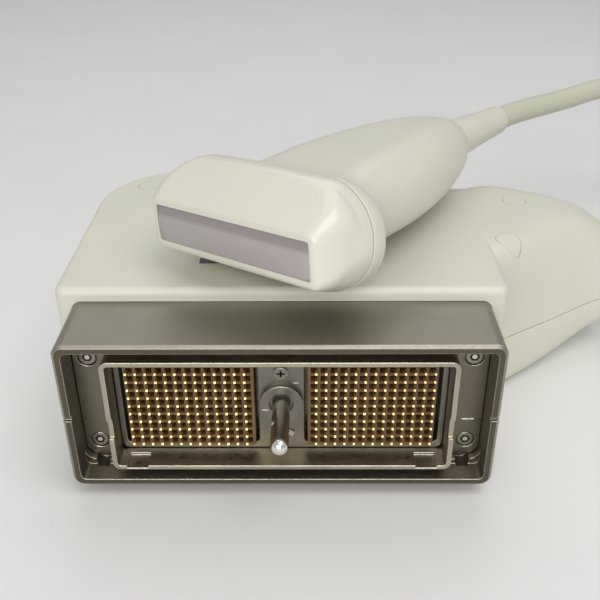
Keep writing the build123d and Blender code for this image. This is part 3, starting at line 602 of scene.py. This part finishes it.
def on_hand(across, depth, up):
    """A point of the handpiece's own axes, in the row."""
    return LENS_PLACE + (HAND_ACROSS * across + HAND_ALONG * depth + HAND_UP * up) * MM


def hand_ring(row, depth, inset=0.0):
    """One ring across the handpiece at a depth, drawn in by an inset."""
    width, top, bottom, upper, lower, crown, sag = row
    row = (width - 2 * inset, top - inset, bottom - inset, max(upper - inset, RIM_EDGE / 2),
           max(lower - inset, RIM_EDGE / 2), crown, sag)
    return [on_hand(across, depth, up) for across, up in rounded_ring(*row)]


def table_rings(table, places, inset=0.0):
    """Rings across the handpiece at each of some depths, from a table."""
    return [hand_ring(table_row(table, depth), depth, inset) for depth in places]


def depths(start, end):
    """Evenly spaced depths between two."""
    count = math.ceil((end - start) / RING_STEP)
    return [start + (end - start) * step / count for step in range(count + 1)]


def edge_steps(radius, count=EDGE_STEPS):
    """Depth and inset of each step round a rounded edge, from its face to its side."""
    turns = [math.pi / 2 * step / count for step in range(count + 1)]
    return [(radius * (1 - math.cos(turn)), radius * (1 - math.sin(turn))) for turn in turns]


def add_rings(shape, rings, closed=True):
    """Skin over rings with one number of points, closed back onto the first ring or capped at both ends."""
    made = [[shape.verts.new(point) for point in ring] for ring in rings]
    pairs = list(zip(made, made[1:]))
    if closed:
        pairs.append((made[-1], made[0]))
    for first, second in pairs:
        for number in range(len(first)):
            after = (number + 1) % len(first)
            shape.faces.new((first[number], first[after], second[after], second[number]))
    if not closed:
        shape.faces.new(made[0])
        shape.faces.new(made[-1])


def smooth_skin(shape):
    """Smooth a skin and keep its true edges crisp."""
    for face in shape.faces:
        face.smooth = True
    for edge in shape.edges:
        edge.smooth = len(edge.link_faces) == 2 and edge.calc_face_angle(0.0) < CREASE_ANGLE


def shell_rings(table, start_edge, end_edge):
    """Rings of a shell's outside from a table, with its two ends rounded."""
    first, last = table[0][0], table[-1][0]
    rings = []
    for run, inset in edge_steps(start_edge):
        rings += table_rings(table, [first + run], inset)
    rings += table_rings(table, depths(first + start_edge, last - end_edge)[1:])
    for run, inset in reversed(edge_steps(end_edge)[:-1]):
        rings += table_rings(table, [last - run], inset)
    return rings


def nosepiece_skin(shape):
    """Glossy front shell, open at the back, with the lens's window in its face."""
    back, front = NOSE_TABLE[-1][0], WINDOW_DEPTH + SHELL_WALL
    inside = table_rings(NOSE_TABLE, reversed(depths(front, back)), SHELL_WALL)
    window = [hand_ring(WINDOW, front), hand_ring(WINDOW, LENS_EDGE)]
    window += [hand_ring(WINDOW, run, inset - LENS_EDGE)
               for run, inset in reversed(edge_steps(LENS_EDGE, LENS_EDGE_STEPS)[:-1])]
    add_rings(shape, shell_rings(NOSE_TABLE, RIM_EDGE, SEAM_EDGE) + inside + window)


def lens_skin(shape):
    """Lens that fills the window, crowned through its height."""
    rings = []
    for share, depth in LENS_RINGS:
        wide = (1 - 2 * LENS_GAP / WINDOW[0]) * share
        high = (1 - LENS_GAP / WINDOW[1]) * share
        rings.append([on_hand(x * wide, depth + (z * high) ** 2 / (2 * LENS_CROWN_RADIUS), z * high)
                      for x, z in rounded_ring(*WINDOW)])
    add_rings(shape, rings, closed=False)


def handle_skin(shape):
    """Waisted handle shell, open at the nosepiece and bored for the boot."""
    first, last = HANDLE_TABLE[0][0], HANDLE_TABLE[-1][0]
    boot_radius = BOOT_TABLE[0][1]
    bore = (2 * boot_radius, *[boot_radius] * 4, 0.0, 0.0)
    inner_end = last - 2 * SHELL_WALL
    inside = [hand_ring(bore, last - SEAM_EDGE), hand_ring(bore, inner_end)]
    inside += table_rings(HANDLE_TABLE, reversed(depths(first, inner_end - SHELL_WALL)), SHELL_WALL)
    add_rings(shape, shell_rings(HANDLE_TABLE, SEAM_EDGE, SEAM_EDGE) + inside)


def boot_ring(radius, depth):
    """One ring round the boot."""
    turns = [2 * math.pi * step / BOOT_SIDES for step in range(BOOT_SIDES)]
    return [on_hand(radius * math.cos(turn), depth, radius * math.sin(turn)) for turn in turns]


def boot_skin(shape):
    """Strain relief with a rounded tip and the cable's bore."""
    first, last = BOOT_TABLE[0][0], BOOT_TABLE[-1][0]
    places = depths(first, last - BOOT_TIP) + [last - run for run in BOOT_TIP_STEPS]
    rings = [boot_ring(table_row(BOOT_TABLE, depth)[0], depth) for depth in places]
    rings += [boot_ring(BOOT_BORE, last), boot_ring(BOOT_BORE, first)]
    add_rings(shape, rings)


def mesh_piece(name, build, material, skin=False):
    """A piece made of mesh, which rides on the probe. A skin is smooth between its true edges."""
    shape = bmesh.new()
    build(shape)
    bmesh.ops.recalc_face_normals(shape, faces=shape.faces)
    if skin:
        smooth_skin(shape)
    mesh = bpy.data.meshes.new(name)
    shape.to_mesh(mesh)
    shape.free()
    mesh.materials.append(material)
    piece = bpy.data.objects.new(name, mesh)
    bpy.context.scene.collection.objects.link(piece)
    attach(piece, "probe")
    return piece


def make_handpiece():
    """The handpiece's soft moulded forms: its nosepiece, lens, handle and boot."""
    pieces = (("nosepiece_skin", nosepiece_skin, "nosepiece_plastic", "handpiece_nose", "nosepiece"),
              ("lens_skin", lens_skin, "lens_silicone", "lens", "lens"),
              ("handle_skin", handle_skin, "handle_plastic", "handpiece", "handle_shell"),
              ("boot_skin", boot_skin, "handle_plastic", "handpiece", "handpiece_boot"))
    for name, build, material, slot, node in pieces:
        piece = mesh_piece(name, build, bpy.data.materials[material], skin=True)
        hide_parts(node)


def add_slab(shape, low, high):
    """One thin block between two corners, with its edges a little broken."""
    low, high = Vector(low), Vector(high)
    size = high - low
    turn = Matrix.Translation((low + high) / 2) @ Matrix.Diagonal((*size, 1.0))
    made = bmesh.ops.create_cube(shape, size=1.0, matrix=turn)
    edges = {edge for vertex in made["verts"] for edge in vertex.link_edges}
    bmesh.ops.bevel(shape, geom=list(edges), offset=min(size) * SLAB_EDGE_SHARE, segments=1, affect="EDGES")


def add_socket(shape, x, z, radius, proud):
    """A six-sided plate on the front of a flange screw's head."""
    front = MATING_Y + FLANGE_SCREW_DEPTH
    turns = [2 * math.pi / SOCKET_SIDES * step for step in range(SOCKET_SIDES)]
    rings = [[Vector((x + radius * math.cos(turn), y, z + radius * math.sin(turn))) for turn in turns]
             for y in (front + RECESS_PROUD, front - proud)]
    add_rings(shape, rings, closed=False)


def add_sockets(shape, radius, proud):
    """The same plate on every flange screw."""
    for x, z in FLANGE_SCREW_PLACES:
        add_socket(shape, x * MM, SHAFT_HEIGHT + z * MM, radius, proud)


def label(shape):
    """Thin bare film on the housing's top."""
    add_slab(shape, (*LABEL_LOW, HOUSING_TOP - LABEL_SINK), (*LABEL_HIGH, HOUSING_TOP + LABEL_PROUD))


def recess_shades(shape):
    """Painted shade: dark crosses on the carrier's screws and dark six-sided plates on the flange's, in
    place of the shade inside their recesses.
    """
    front = MATING_Y + CARRIER_SCREW_DEPTH - RECESS_PROUD
    back = front + 2 * RECESS_PROUD
    reach = CARRIER_SCREW_REACH
    for x, z in CARRIER_SCREW_PLACES:
        middle_x, middle_z = x * MM, SHAFT_HEIGHT + z * MM
        for wide, high in ((reach, RECESS_ARM), (RECESS_ARM, reach)):
            add_slab(shape, (middle_x - wide, front, middle_z - high),
                     (middle_x + wide, back, middle_z + high))
    add_sockets(shape, SOCKET_RADIUS, RECESS_PROUD)


def socket_floor_highlights(shape):
    """Painted highlight: small bright plates on the flange screws' socket floors."""
    add_sockets(shape, SOCKET_HIGHLIGHT_RADIUS, 2 * RECESS_PROUD)


def index_marks(shape):
    """Two short bright lines beside the lock shaft."""
    for x, z, wide, depth in INDEX_MARKS:
        front = MATING_Y + depth * MM
        low, high = [SHAFT_HEIGHT + (z + rise) * MM for rise in (-MARK_HALF_HEIGHT, MARK_HALF_HEIGHT)]
        add_slab(shape, ((x - wide) * MM, front - MARK_PROUD * MM, low),
                 ((x + wide) * MM, front + MARK_SINK * MM, high))


def make_details():
    """The bare dark label on the housing, painted shade in the screws' recesses, painted highlights on the
    flange screws' socket floors and the marks by the lock shaft.
    """
    dark = plastic("label_film", (0.012, 0.012, 0.013), 0.35, grain=0.00001, coat=0.2, variation=0.3)
    # Dark metal for the painted shade in the screws' recesses
    recess = metal("screw_recess", (0.03, 0.028, 0.025), 0.5)
    # Bright metal of the index marks, also used as the painted highlight on the socket floors
    mark = metal("mark_metal", (0.75, 0.71, 0.62), 0.3)
    mesh_piece("label", label, dark)
    mesh_piece("recess_shades", recess_shades, recess)
    mesh_piece("socket_floor_highlights", socket_floor_highlights, mark)
    mesh_piece("index_marks", index_marks, mark)


def make_floor():
    """Plain pale floor under the probe."""
    bpy.ops.mesh.primitive_plane_add(size=FLOOR_SIZE, location=(0, 0, 0))
    floor = bpy.context.object
    floor.name = "floor"
    floor.data.materials.append(plastic("floor_paper", (0.78, 0.78, 0.77), 0.7, variation=0.02))


def make_lights():
    """Soft light from above, a low one from the front, a weak one from behind, and a pale world."""
    for name, place, size, power, colour in LAMPS:
        data = bpy.data.lights.new(name, "AREA")
        data.size = size
        data.energy = power
        data.color = colour
        light = bpy.data.objects.new(name, data)
        light.location = place
        light.rotation_euler = (Vector(LAMP_TARGET) - Vector(place)).to_track_quat("-Z", "Y").to_euler()
        bpy.context.scene.collection.objects.link(light)
    world = bpy.data.worlds.new("studio")
    world.use_nodes = True
    tree = world.node_tree
    background = tree.nodes["Background"]
    background.inputs["Color"].default_value = WORLD_COLOUR
    rays = tree.nodes.new("ShaderNodeLightPath").outputs
    seen = rays["Is Camera Ray"]
    for kind in ("Is Glossy Ray", "Is Transmission Ray"):
        seen = calculate(tree, "MAXIMUM", seen, rays[kind])
    level = spread(tree, seen, WORLD_LIGHT, WORLD_SEEN, 0.0, 1.0)
    tree.links.new(level, background.inputs["Strength"])
    bpy.context.scene.world = world
    bpy.context.scene.view_settings.view_transform = "Standard"


def make_camera():
    """Camera at the photograph's place and angle."""
    data = bpy.data.cameras.new("camera")
    data.lens = CAMERA_LENS
    data.sensor_width = SENSOR_WIDTH
    data.clip_start = MM
    camera = bpy.data.objects.new("camera", data)
    turn = Matrix.Rotation(math.radians(-CAMERA_YAW), 4, "Z")
    tilt = Matrix.Rotation(math.radians(90 - CAMERA_PITCH), 4, "X")
    roll = Matrix.Rotation(math.radians(-CAMERA_ROLL), 4, "Z")
    camera.matrix_world = Matrix.Translation(CAMERA_PLACE) @ turn @ tilt @ roll
    bpy.context.scene.collection.objects.link(camera)
    bpy.context.scene.camera = camera


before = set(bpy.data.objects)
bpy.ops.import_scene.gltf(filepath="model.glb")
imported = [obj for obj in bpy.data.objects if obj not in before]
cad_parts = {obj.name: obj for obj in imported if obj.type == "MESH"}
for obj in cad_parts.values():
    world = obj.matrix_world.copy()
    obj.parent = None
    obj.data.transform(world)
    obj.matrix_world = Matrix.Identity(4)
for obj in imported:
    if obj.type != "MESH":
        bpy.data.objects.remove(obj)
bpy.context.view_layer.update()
dress(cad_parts)
make_cable()
make_handpiece()
make_details()
make_floor()
make_lights()
make_camera()
